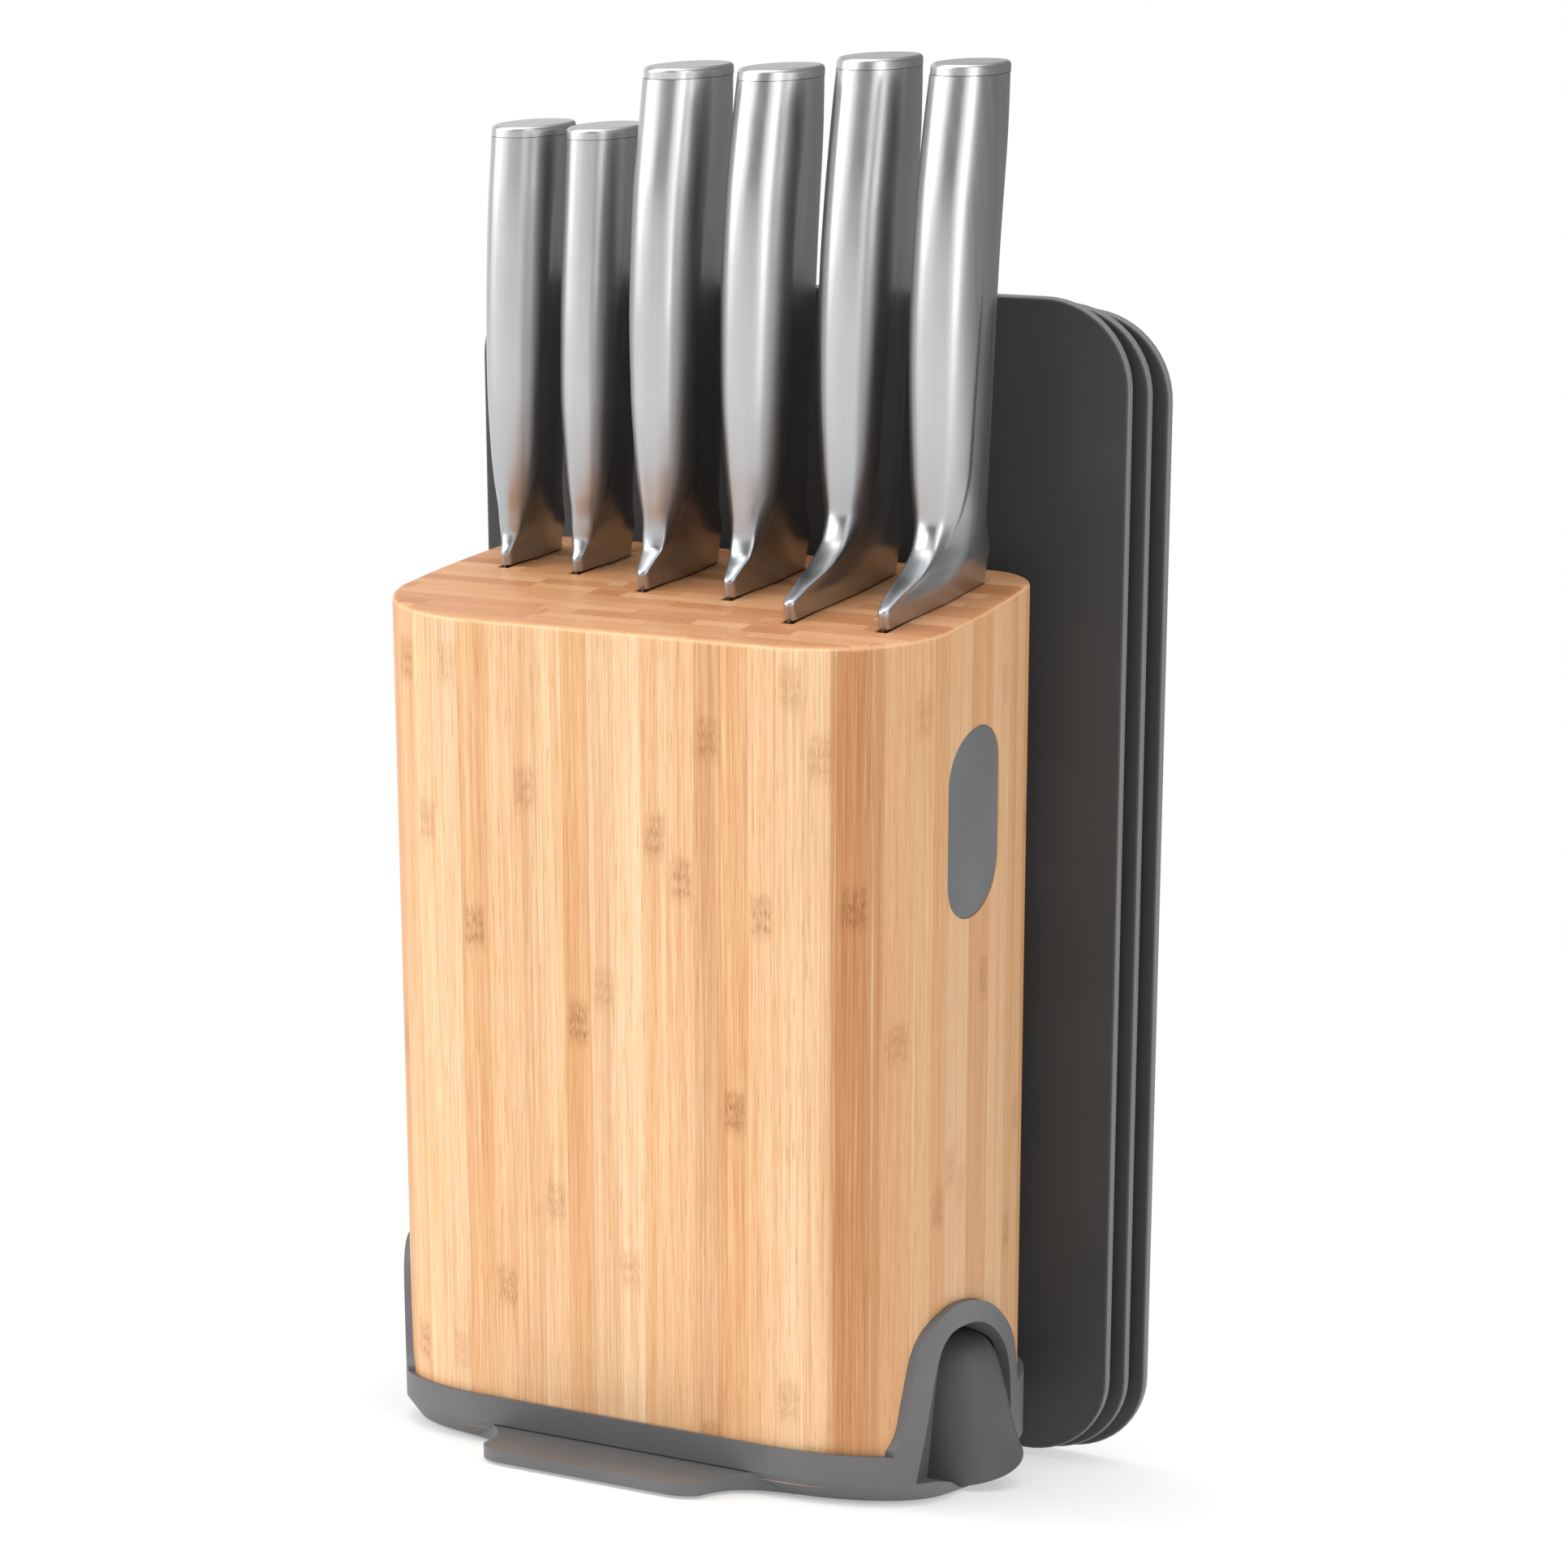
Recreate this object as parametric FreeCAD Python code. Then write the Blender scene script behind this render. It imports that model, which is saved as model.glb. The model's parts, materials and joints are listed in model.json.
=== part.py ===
import FreeCAD, Part
import math, os
from FreeCAD import Vector as V

# ---------------------------------------------------------------- dimensions
# Millimetres. Everything is first laid out in the block's own frame: X across,
# Y from the front face towards the back, Z along the block, top face at Z = 0.
# Then it is leaned forward by LEAN, so that its ramp stands on the ground Z = 0.
LEAN = 16.5                   # the block leans towards the user by this angle
RAMP_Y, RAMP_Z = 3.7, -213.9  # a point of the ramp plane in the block's frame

BLOCK_DEPTH = 103.0
FRONT_FLAT = 38.5             # half width of the flat front face
FRONT_R = 34.1                # radius of the two front corners
SIDE_BULGE = 73.5             # half width at the widest point of the cheeks
BACK_R = 15.8
TOP_EDGE_R = 1.4
FLOOR_T = 3.0                 # tray floor under the bamboo
SLOT_T = 3.2                  # width of each knife slot
SLOT_EXTRA = 5.0              # slot depth beyond the blade's point
SLOT_X = (-58.1, -37.7, -13.0, 10.7, 34.4, 58.6)

WALL = 1.8                    # tray wall outside the bamboo
RIM_Z = -200.0                # rim height at the front face
CREASE = 5.3                  # height of the bevelled foot band
PAD_OUT = 0.4                 # how far the anti-slip pads stand proud
TAB_Y = -24.1                 # front edge of the anti-tip tab
TAB_T = 3.0
POCKET_X = 62.2               # inner face of the side pockets
LEG_X, LEG_Y, LEG_TOP, LEG_BOT = 61.0, 64.7, -190.9, -225.9

BOARD_T = 3.7
BOARD_Y = (111.6, 119.04, 126.48)
BOARD_HALF = (90.5, 93.5, 96.6)
BOARD_H = 313.0
BOARD_R = 23.0
RACK_HALF = 64.0
RACK_H = 62.0
RACK_FLOOR = 1.3

T = math.tan(math.radians(LEAN))
C = math.cos(math.radians(LEAN))

# name, slot index, travel, blade length, spine Y, heel Y, blade thickness
KNIVES = (
    ("paring_knife", 0, 90.0, 86.5, 58.6, 1.7),
    ("utility_knife", 1, 120.0, 85.0, 58.0, 1.8),
    ("carving_knife", 2, 150.0, 84.5, 44.4, 2.0),
    ("bread_knife", 3, 165.0, 86.0, 43.2, 2.0),
    ("santoku_knife", 4, 180.0, 87.5, 24.4, 2.2),
    ("chefs_knife", 5, 185.0, 86.0, 23.6, 2.2),
)
# handle sections: height above the block top, front Y, back Y, half width,
# and how narrow the forward nose of the section is (1 = plain oval)
HANDLES = {
    "paring_knife": ((0.5, 58.4, 87.2, 3.6, 0.42), (3.4, 58.2, 87.0, 3.9, 0.40), (6.0, 59.6, 87.0, 4.4, 0.46),
                     (9.0, 60.4, 87.0, 5.2, 0.62), (13.0, 60.3, 87.1, 6.1, 0.80), (20.0, 59.6, 87.2, 6.9, 0.95),
                     (30.0, 58.8, 87.6, 7.5, 1), (44.0, 58.2, 88.8, 8.1, 1), (60.0, 58.6, 90.4, 8.5, 1),
                     (76.0, 59.6, 91.8, 8.6, 1), (92.0, 61.2, 93.6, 8.6, 1), (104.0, 63.0, 95.0, 8.5, 1), (110.6, 64.0, 95.8, 8.5, 1)),
    "utility_knife": ((0.5, 57.8, 86.4, 3.6, 0.42), (3.4, 57.6, 86.2, 3.9, 0.40), (6.0, 59.2, 86.2, 4.4, 0.46),
                      (9.0, 60.2, 86.2, 5.2, 0.62), (13.0, 60.2, 86.3, 6.1, 0.80), (20.0, 59.6, 86.6, 6.9, 0.95),
                      (30.0, 59.0, 87.2, 7.3, 1), (44.0, 58.4, 88.4, 7.9, 1), (60.0, 59.0, 90.0, 8.1, 1),
                      (76.0, 60.4, 91.6, 8.2, 1), (92.0, 62.2, 93.2, 8.2, 1), (104.0, 63.6, 94.4, 8.1, 1), (110.6, 64.4, 95.0, 8.1, 1)),
    "carving_knife": ((0.5, 44.2, 85.8, 3.6, 0.42), (4.4, 43.4, 85.6, 4.1, 0.38), (7.0, 46.2, 85.6, 4.7, 0.44),
                      (10.0, 49.6, 85.4, 5.5, 0.58), (15.0, 50.4, 85.4, 6.5, 0.78), (22.0, 49.8, 85.6, 7.7, .95),
                      (32.0, 48.6, 85.8, 8.2, 1), (48.0, 47.4, 86.6, 8.9, 1), (64.0, 47.4, 87.8, 9.3, 1),
                      (80.0, 48.6, 89.2, 9.4, 1), (96.0, 50.6, 90.4, 9.4, 1), (112.0, 54.2, 91.8, 9.2, 1), (126.4, 57.4, 92.6, 8.9, 1)),
    "bread_knife": ((0.5, 43.0, 87.0, 3.6, 0.42), (4.4, 42.4, 86.8, 4.1, 0.38), (7.0, 45.4, 86.8, 4.7, 0.44),
                    (10.0, 49.4, 86.6, 5.5, 0.58), (15.0, 50.8, 86.6, 6.5, 0.78), (22.0, 50.6, 86.6, 7.6, .95),
                    (32.0, 49.8, 86.8, 8.2, 1), (48.0, 48.6, 87.8, 8.9, 1), (64.0, 49.0, 89.2, 9.3, 1),
                    (80.0, 50.2, 90.6, 9.5, 1), (96.0, 52.4, 92.2, 9.4, 1), (112.0, 56.2, 93.8, 9.1, 1), (126.4, 60.4, 94.6, 8.7, 1)),
    "santoku_knife": ((0.5, 24.2, 89.6, 3.6, 0.42), (4.6, 23.4, 89.4, 4.2, 0.36), (7.2, 30.5, 89.4, 4.7, 0.42),
                      (10.0, 42.5, 89.2, 5.5, 0.58), (15.0, 51.6, 89.2, 6.5, 0.78), (22.0, 54.8, 89.4, 7.6, .92),
                      (32.0, 54.6, 89.6, 8.3, 1), (48.0, 54.0, 90.6, 9.1, 1), (64.0, 54.6, 92.4, 9.6, 1),
                      (80.0, 56.2, 94.4, 9.8, 1), (96.0, 58.8, 96.6, 9.7, 1), (112.0, 62.4, 98.2, 9.5, 1), (129.2, 66.6, 99.4, 9.0, 1)),
    "chefs_knife": ((0.5, 23.4, 87.8, 3.6, 0.42), (4.6, 22.6, 87.6, 4.2, 0.36), (7.2, 29.0, 87.4, 4.7, 0.42),
                    (10.0, 40.5, 87.2, 5.5, 0.58), (15.0, 49.6, 86.8, 6.5, 0.78), (22.0, 52.6, 86.6, 7.5, .92),
                    (32.0, 52.6, 86.4, 8.1, 1), (48.0, 52.4, 86.8, 8.8, 1), (64.0, 52.8, 87.8, 9.2, 1),
                    (80.0, 54.2, 89.6, 9.3, 1), (96.0, 56.6, 91.8, 9.2, 1), (112.0, 60.6, 93.8, 9.0, 1), (128.4, 65.4, 95.6, 8.5, 1)),
}
CAP_T = 2.6

# side arch, Y and Z in the block's frame
ARCH_OUT = ((12.6, -202.2), (14.3, -199.5), (15.0, -197.3), (15.7, -193.4), (16.7, -188.0), (17.7, -182.9),
            (19.0, -178.4), (21.2, -174.9), (24.8, -172.5), (30.2, -171.4), (39.5, -172.4), (51.8, -176.4),
            (62.9, -182.3), (72.9, -190.0), (78.4, -195.6), (81.3, -200.3), (83.3, -206.3), (84.3, -215.5))
ARCH_IN = ((18.4, -212.7), (20.3, -205.1), (21.6, -200.0), (23.1, -194.0), (24.4, -188.8), (25.8, -184.2),
           (27.6, -180.8), (30.6, -178.7), (35.2, -178.2), (42.4, -179.3), (53.6, -183.0), (63.0, -188.6),
           (70.0, -194.6), (74.6, -200.6), (77.0, -207.4), (78.2, -216.0), (79.0, -228.2))

# ---------------------------------------------------------------- helpers
def ramp(y, h=0.0):
    return RAMP_Z - T * (y - RAMP_Y) + h / C

REAR_FLAT = -229.7
RAMP_END = RAMP_Y + (RAMP_Z + 0.4 / C - REAR_FLAT) / T

def box(x0, x1, y0, y1, z0, z1):
    return Part.makeBox(x1 - x0, y1 - y0, z1 - z0, V(x0, y0, z0))

def prism_yz(points, x0, x1, smooth=None):
    """Extrude a closed Y-Z outline from x0 to x1; the leading run may be a spline."""
    pts = [V(x0, y, z) for y, z in points]
    edges = []
    if smooth:
        sp = Part.BSplineCurve()
        sp.interpolate([V(x0, y, z) for y, z in smooth])
        edges.append(sp.toShape())
        chain = [V(x0, *smooth[-1])] + pts + [V(x0, *smooth[0])]
        for a, b in zip(chain[:-1], chain[1:]):
            edges.append(Part.LineSegment(a, b).toShape())
    else:
        for a, b in zip(pts, pts[1:] + pts[:1]):
            edges.append(Part.LineSegment(a, b).toShape())
    return Part.Face(Part.Wire(edges)).extrude(V(x1 - x0, 0, 0))

def arc_pt(cx, cy, r, deg):
    return V(cx + r * math.cos(math.radians(deg)), cy + r * math.sin(math.radians(deg)), 0)

def outline_wire(off, z):
    """Plan outline of the block, grown by off, at height z."""
    fr, br = FRONT_R + off, BACK_R + off
    cy = FRONT_R
    bx, by = 56.7, 87.2
    right = []
    p0 = V(-FRONT_FLAT, -off, 0); p1 = V(FRONT_FLAT, -off, 0)
    e = [Part.LineSegment(p0, p1)]
    e.append(Part.Arc(p1, arc_pt(FRONT_FLAT, cy, fr, -45), V(FRONT_FLAT + fr, cy, 0)))
    e.append(Part.Arc(V(FRONT_FLAT + fr, cy, 0), V(SIDE_BULGE + off, 59.5, 0), V(bx + br, by, 0)))
    e.append(Part.Arc(V(bx + br, by, 0), arc_pt(bx, by, br, 45), V(bx, by + br, 0)))
    e.append(Part.LineSegment(V(bx, by + br, 0), V(-bx, by + br, 0)))
    e.append(Part.Arc(V(-bx, by + br, 0), arc_pt(-bx, by, br, 135), V(-bx - br, by, 0)))
    e.append(Part.Arc(V(-bx - br, by, 0), V(-SIDE_BULGE - off, 59.5, 0), V(-FRONT_FLAT - fr, cy, 0)))
    e.append(Part.Arc(V(-FRONT_FLAT - fr, cy, 0), arc_pt(-FRONT_FLAT, cy, fr, 225), p0))
    w = Part.Wire([x.toShape() for x in e])
    w.translate(V(0, 0, z))
    return w

def outline_prism(off, z0, z1):
    return Part.Face(outline_wire(off, z0)).extrude(V(0, 0, z1 - z0))

def above(h, rear, y0=-60.0, y1=160.0):
    """Solid of everything above the ramp plane raised by h and above the rear flat."""
    pts = [(y0, ramp(y0, h)), (y0, 60.0), (y1, 60.0), (y1, max(ramp(y1, h), rear))]
    ye = RAMP_Y + (RAMP_Z + h / C - rear) / T
    if ramp(y1, h) < rear:
        pts.append((ye, rear))
    return prism_yz(pts, -120.0, 120.0)

def mirror_x(s):
    return s.mirror(V(0, 0, 0), V(1, 0, 0))

def clean(s):
    try:
        r = s.removeSplitter()
        if r.isValid():
            s = r
    except Exception:
        pass
    return s

def one(s):
    """The largest solid of a cut result, or a compound of all its solids."""
    sol = sorted(s.Solids, key=lambda q: -q.Volume)
    return sol[0]

# ---------------------------------------------------------------- bamboo
block = outline_prism(0.0, -232.0, 0.0)
top_edges = [e for e in block.Edges if abs(e.BoundBox.ZMin) < 1e-6 and abs(e.BoundBox.ZMax) < 1e-6]
block = block.makeFillet(TOP_EDGE_R, top_edges)
block = block.common(above(0.4 + FLOOR_T, REAR_FLAT + FLOOR_T))

def arch_body(grow, x0, x1):
    """Arch outline as a prism from x0 to x1, down below the tray."""
    cy = 50.0
    pts = []
    for y, z in ARCH_OUT:
        pts.append((y + (-grow if y < cy else grow), z + (grow if z > -196 else 0.0)))
    return prism_yz([(pts[-1][0], -240.0), (pts[0][0], -240.0)], x0, x1, smooth=pts)

hood_cut = arch_body(0.1, POCKET_X - 0.1, 90.0)
bamboo = block.cut(hood_cut).cut(mirror_x(hood_cut))

# slots: each lies between two slabs, closed at front, back and bottom by a spacer
cuts = []
for x in SLOT_X:
    cuts += [x - SLOT_T / 2, x + SLOT_T / 2]
bounds = [-90.0] + cuts + [90.0]
SLABS = ("left_cheek", "divider_1", "divider_2", "divider_3", "divider_4", "divider_5", "right_cheek")
parts = {}
for i, n in enumerate(SLABS):
    parts["bamboo_" + n] = one(bamboo.common(box(bounds[2 * i], bounds[2 * i + 1], -5, 110, -240, 5)))
for i, (name, idx, L, ys, yh_, t) in enumerate(KNIVES):
    s = bamboo.common(box(SLOT_X[i] - SLOT_T / 2, SLOT_X[i] + SLOT_T / 2, -5, 110, -240, 5))
    slot = box(SLOT_X[i] - 3, SLOT_X[i] + 3, yh_ - 1.4, ys + 4.4, -(L + SLOT_EXTRA), 5)
    parts["bamboo_spacer_%d" % (i + 1)] = one(s.cut(slot))

# ---------------------------------------------------------------- badge
by0, bz0, bw, bh, be = 48.4, -51.0, 16.6, 23.6, 11.5
def badge_prism(grow, x0, x1):
    w, h, ee = bw + grow, bh + grow, be + grow
    top = Part.Arc(V(x0, by0 - w, bz0 + h - ee), V(x0, by0, bz0 + h), V(x0, by0 + w, bz0 + h - ee))
    el = []
    def ell(sign):
        pts = []
        for k in range(0, 13):
            a = math.pi * k / 12
            pts.append(V(x0, by0 - sign * w * math.cos(a), bz0 + sign * (h - ee + ee * math.sin(a))))
        c = Part.BSplineCurve(); c.interpolate(pts)
        return c.toShape(), pts[0], pts[-1]
    e1, a1, b1 = ell(1)
    e2, a2, b2 = ell(-1)
    w_ = Part.Wire([e1, Part.LineSegment(b1, a2).toShape(), e2, Part.LineSegment(b2, a1).toShape()])
    return Part.Face(w_).extrude(V(x1 - x0, 0, 0))
badge_skin = outline_prism(-0.25, -120, 0)
parts["side_badge"] = one(badge_prism(0.0, 71.0, 76.0).common(badge_skin))
parts["bamboo_right_cheek"] = one(parts["bamboo_right_cheek"].cut(badge_prism(0.12, 71.0, 76.0)))

# ---------------------------------------------------------------- tray
shell_profile = [(-60.0, RIM_Z + T * 60.0), (16.0, RIM_Z - T * 16.0), (80.0, -212.0), (150.0, -212.0), (150.0, -260.0), (-60.0, -260.0)]
band = outline_prism(WALL, -240.0, -150.0).common(prism_yz(shell_profile, -100, 100))
hood = outline_prism(WALL, -240.0, -150.0).common(arch_body(0.0, POCKET_X, 90.0))
pocket = outline_prism(0.1, -245.0, 10.0).common(above(0.4 + FLOOR_T, REAR_FLAT + FLOOR_T))
pocket = pocket.cut(arch_body(0.0, POCKET_X, 90.0)).cut(mirror_x(arch_body(0.0, POCKET_X, 90.0)))
tray = band.fuse(hood).fuse(mirror_x(hood)).cut(pocket)
cavity = prism_yz([(60.0, -228.4), (50.0, -227.2), (44.0, -224.4), (35.7, -219.3), (31.8, -217.4), (26.4, -215.0)],
                  POCKET_X + 1.8, 90.0, smooth=ARCH_IN)
tray = tray.cut(cavity).cut(mirror_x(cavity))
tray = tray.common(above(0.4, REAR_FLAT))

# bevelled foot band: the wall leans inwards below the crease
def bevel_tool(y_in, x_in):
    """Everything outside a foot outline that narrows towards the ground."""
    n = 96
    def ring(off_s, off_f, h):
        pts = []
        w = outline_wire(0.0, 0.0)
        for p in w.discretize(n + 1)[:-1]:
            # outward direction from the nearest skeleton point
            sx = max(-FRONT_FLAT, min(FRONT_FLAT, p.x)) if p.y < 59 else max(-56.7, min(56.7, p.x))
            sy = max(FRONT_R, min(87.2, p.y))
            d = V(p.x - sx, p.y - sy, 0)
            if d.Length < 1e-6:
                d = V(1 if p.x > 0 else -1, 0, 0)
            d.normalize()
            off = off_s + (off_f - off_s) * max(0.0, -d.y)
            q = V(p.x + d.x * off, p.y + d.y * off, 0)
            q.z = ramp(q.y, h)
            pts.append(q)
        c = Part.BSplineCurve()
        c.interpolate(pts, True)
        return Part.Wire([c.toShape()])
    return ring

ring = bevel_tool(0, 0)
foot = Part.makeLoft([ring(-1.4, -4.2, -1.0), ring(WALL + 0.02, WALL + 0.02, CREASE)], True, False)
wide = outline_prism(WALL + 12.0, -260.0, -190.0).common(prism_yz(
    [(-60.0, ramp(-60.0, CREASE)), (150.0, ramp(150.0, CREASE)), (150.0, -290.0), (-60.0, -290.0)], -110, 110))
bevel_cut = wide.cut(foot)
tray_b = tray.cut(bevel_cut)
if tray_b.isValid() and tray_b.Volume > 0.8 * tray.Volume:
    tray = tray_b

# anti-tip tab
def tab_outline():
    w, yf, r = 30.0, TAB_Y, 8.5
    pts_r = [V(w + 1.6, -6.6, 0), V(w + 4.4, -2.4, 0), V(w + 9.2, 1.3, 0), V(w + 15.0, 3.2, 0)]
    e = [Part.LineSegment(V(-w + r, yf, 0), V(w - r, yf, 0)).toShape(),
         Part.Arc(V(w - r, yf, 0), V(w - r + r * math.sin(math.radians(42)), yf + r - r * math.cos(math.radians(42)), 0), V(w - 0.7, yf + r - 0.6, 0)).toShape()]
    s1 = Part.BSplineCurve(); s1.interpolate([V(w - 0.7, yf + r - 0.6, 0), V(w + 0.3, -11.0, 0)] + pts_r)
    e.append(s1.toShape())
    e.append(Part.LineSegment(pts_r[-1], V(w + 15.0, 9.0, 0)).toShape())
    e.append(Part.LineSegment(V(w + 15.0, 9.0, 0), V(-w - 15.0, 9.0, 0)).toShape())
    L_ = [V(-p.x, p.y, 0) for p in pts_r]
    e.append(Part.LineSegment(V(-w - 15.0, 9.0, 0), L_[-1]).toShape())
    s2 = Part.BSplineCurve(); s2.interpolate(L_[::-1] + [V(-w - 0.3, -11.0, 0), V(-w + 0.7, yf + r - 0.6, 0)])
    e.append(s2.toShape())
    e.append(Part.Arc(V(-w + 0.7, yf + r - 0.6, 0), V(-w + r - r * math.sin(math.radians(42)), yf + r - r * math.cos(math.radians(42)), 0), V(-w + r, yf, 0)).toShape())
    return Part.Wire(e)
tab = Part.Face(tab_outline()).extrude(V(0, 0, 60.0))
tab.translate(V(0, 0, -230.0))
tab = tab.common(prism_yz([(-40.0, ramp(-40.0, 0.4)), (12.0, ramp(12.0, 0.4)), (12.0, ramp(12.0, 0.4 + TAB_T + 2.6)), (-1.0, ramp(-1.0, 0.4 + TAB_T + 1.5)),
                           (-10.0, ramp(-10.0, 0.4 + TAB_T + 0.5)), (-40.0, ramp(-40.0, 0.4 + TAB_T - 0.2))], -80, 80))
def tab_round(radius, limit):
    es = [e for e in tab.Edges if e.BoundBox.YMax < limit and e.BoundBox.ZLength < 6.0
          and abs(e.CenterOfMass.z - ramp(e.CenterOfMass.y, 0.4 + TAB_T - 0.1)) < 0.9]
    return tab.makeFillet(radius, es) if es else None
for radius, limit in ((0.9, -8.0), (0.9, -15.0), (0.6, -15.0), (0.8, -23.0)):
    try:
        tf = tab_round(radius, limit)
        if tf is not None and tf.isValid() and tf.Volume > 0.9 * tab.Volume:
            tab = tf
            print("tab rounded", radius, limit)
            break
    except Exception as ex:
        pass
tab = tab.cut(pocket)
tray = tray.fuse(tab)

# legs
prof = ((0.0, 0.0), (4.2, -0.15), (7.2, -0.9), (9.4, -2.1), (11.6, -4.4), (13.2, -7.4), (14.6, -11.6), (15.9, -16.5), (17.3, -22.5),
        (18.6, -28.0), (19.9, -32.2), (20.9, LEG_BOT - LEG_TOP + 0.0))
def dome(grow):
    c = Part.BSplineCurve()
    pr = [V(r + (grow if r > 0 else 0), 0, LEG_TOP + z + grow) for r, z in prof]
    c.interpolate(pr, False)
    e = [c.toShape(), Part.LineSegment(pr[-1], V(pr[-1].x, 0, LEG_BOT - grow)).toShape() if grow > 0 else None,
         Part.LineSegment(V(pr[-1].x, 0, LEG_BOT - grow), V(0, 0, LEG_BOT - grow)).toShape(),
         Part.LineSegment(V(0, 0, LEG_BOT - grow), pr[0]).toShape()]
    e = [x for x in e if x is not None]
    f = Part.Face(Part.Wire(e))
    s = f.revolve(V(0, 0, 0), V(0, 0, 1), 360)
    if s.ShapeType != "Solid":
        s = s.Solids[0]
    s.translate(V(LEG_X, LEG_Y, 0))
    return s
leg = one(dome(0.0).common(box(POCKET_X + 1.8, 100, 0, 120, -240, -150)).common(above(0.0, -400.0)))
tray = tray.cut(dome(0.35).common(box(POCKET_X + 1.8, 100, 0, 120, -240, -150)))
tray = tray.cut(mirror_x(dome(0.35).common(box(POCKET_X + 1.8, 100, 0, 120, -240, -150))))
parts["side_leg_right"] = leg
parts["side_leg_left"] = mirror_x(leg)

# screws up into the bamboo, heads sunk in the tray floor
def screw(x, y, on_ramp):
    head = Part.makeCone(1.9, 3.6, 2.2, V(0, 0, 0), V(0, 0, -1))
    shank = Part.makeCylinder(1.9, 12.0, V(0, 0, 0), V(0, 0, 1))
    tip = Part.makeCone(1.9, 0.3, 3.0, V(0, 0, 12.0), V(0, 0, 1))
    cross = box(-2.2, 2.2, -0.45, 0.45, -2.3, -1.2).fuse(box(-0.45, 0.45, -2.2, 2.2, -2.3, -1.2))
    s = head.fuse(shank).fuse(tip).cut(cross)
    hole = Part.makeCylinder(1.95, 12.7, V(0, 0, -0.5), V(0, 0, 1)).fuse(Part.makeCone(1.95, 0.35, 3.3, V(0, 0, 12.2), V(0, 0, 1)))
    sink = Part.makeCone(1.95, 3.75, 2.3, V(0, 0, 0), V(0, 0, -1)).fuse(Part.makeCylinder(3.9, 6.0, V(0, 0, -2.2), V(0, 0, -1)))
    for q in (s, hole, sink):
        if on_ramp:
            q.rotate(V(0, 0, 0), V(1, 0, 0), -LEAN)
            q.translate(V(x, y, ramp(y, 0.4 + 2.6)))
        else:
            q.translate(V(x, y, REAR_FLAT + 2.6))
    return s, hole, sink
SCREWS = ((-25.3, 26.0, True), (22.6, 26.0, True), (-25.3, 86.0, False), (22.6, 86.0, False))
screws = []
for x, y, r in SCREWS:
    s, hole, sink = screw(x, y, r)
    screws.append(s)
    tray = tray.cut(hole).cut(sink)
    n = "bamboo_divider_2" if x < 0 else "bamboo_divider_4"
    parts[n] = one(parts[n].cut(hole).cut(sink))
parts["tray_screws"] = Part.makeCompound(screws)

# pads on the ramp
pads = []
for x, y in ((-48.0, 20.0), (48.0, 20.0), (-48.0, 48.0), (48.0, 48.0)):
    p = Part.makeCylinder(6.0, 1.2, V(0, 0, 0), V(0, 0, 1))
    p = p.makeFillet(0.35, [p.Edges[0] if p.Edges[0].BoundBox.ZMax < 0.1 else p.Edges[2]])
    h = Part.makeCylinder(6.15, 1.7, V(0, 0, -0.5), V(0, 0, 1))
    for q in (p, h):
        q.rotate(V(0, 0, 0), V(1, 0, 0), -LEAN)
        q.translate(V(x, y, ramp(y, 0.0)))
    pads.append(p)
    tray = tray.cut(h)
parts["anti_slip_pads"] = Part.makeCompound(pads)
tray = clean(one(tray))
parts["base_tray"] = tray

# ---------------------------------------------------------------- board rack
def slab_on_ramp(y0, y1, top, h0=0.0):
    return prism_yz([(y0, ramp(y0, h0)), (y1, ramp(y1, h0)), (y1, top), (y0, top)], -RACK_HALF, RACK_HALF)
r_top = ramp(120.0) + RACK_H
y_front0 = BLOCK_DEPTH + WALL + 0.0
gap = 0.42
walls = [(y_front0, BOARD_Y[0] - gap)]
for i in (0, 1):
    walls.append((BOARD_Y[i] + BOARD_T + gap, BOARD_Y[i + 1] - gap))
walls.append((BOARD_Y[2] + BOARD_T + gap, BOARD_Y[2] + BOARD_T + gap + 3.0))
rack = prism_yz([(y_front0, ramp(y_front0, 0.0)), (walls[-1][1], ramp(walls[-1][1], 0.0)),
                 (walls[-1][1], ramp(walls[-1][1], RACK_FLOOR)), (y_front0, ramp(y_front0, RACK_FLOOR))], -RACK_HALF, RACK_HALF)
for a, b in walls:
    w = slab_on_ramp(a, b, r_top)
    rack = rack.fuse(w)
# lead-in chamfers on the mouth of each gap
for a, b in walls:
    for yy, sgn in ((a, 1), (b, -1)):
        if yy == y_front0 or yy == walls[-1][1]:
            continue
        rack = rack.cut(prism_yz([(yy - sgn * 0.01, r_top + 0.01), (yy + sgn * 0.9, r_top + 0.01), (yy - sgn * 0.01, r_top - 2.2)], -RACK_HALF - 1, RACK_HALF + 1))
# corner rounding of the walls seen from the back
rc = 9.0
for sx in (-1, 1):
    corner = box(0, rc, 95, 145, -rc, 0.5)
    corner = corner.cut(Part.makeCylinder(rc, 60, V(0, 94, -rc), V(0, 1, 0)))
    corner.translate(V(RACK_HALF - rc, 0, r_top))
    if sx < 0:
        corner = mirror_x(corner)
    rack = rack.cut(corner)
# three drain windows in the rear wall and hollows in the front wall
for xw in (-38.0, 0.0, 38.0):
    win = box(xw - 14, xw + 14, walls[-1][0] - 0.01, walls[-1][1] + 1, r_top - 44, r_top - 14)
    we = [e for e in win.Edges if e.BoundBox.YLength > 2]
    win = win.makeFillet(6.0, we)
    rack = rack.cut(win)
core = box(-RACK_HALF + 4, RACK_HALF - 4, y_front0 + 2.0, BOARD_Y[0] - gap - 2.0, -260, r_top - 3.0)
for xr in (-30.0, 0.0, 30.0):
    core = core.cut(box(xr - 1, xr + 1, 100, 120, -262, 0))
rack = rack.cut(core)
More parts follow.
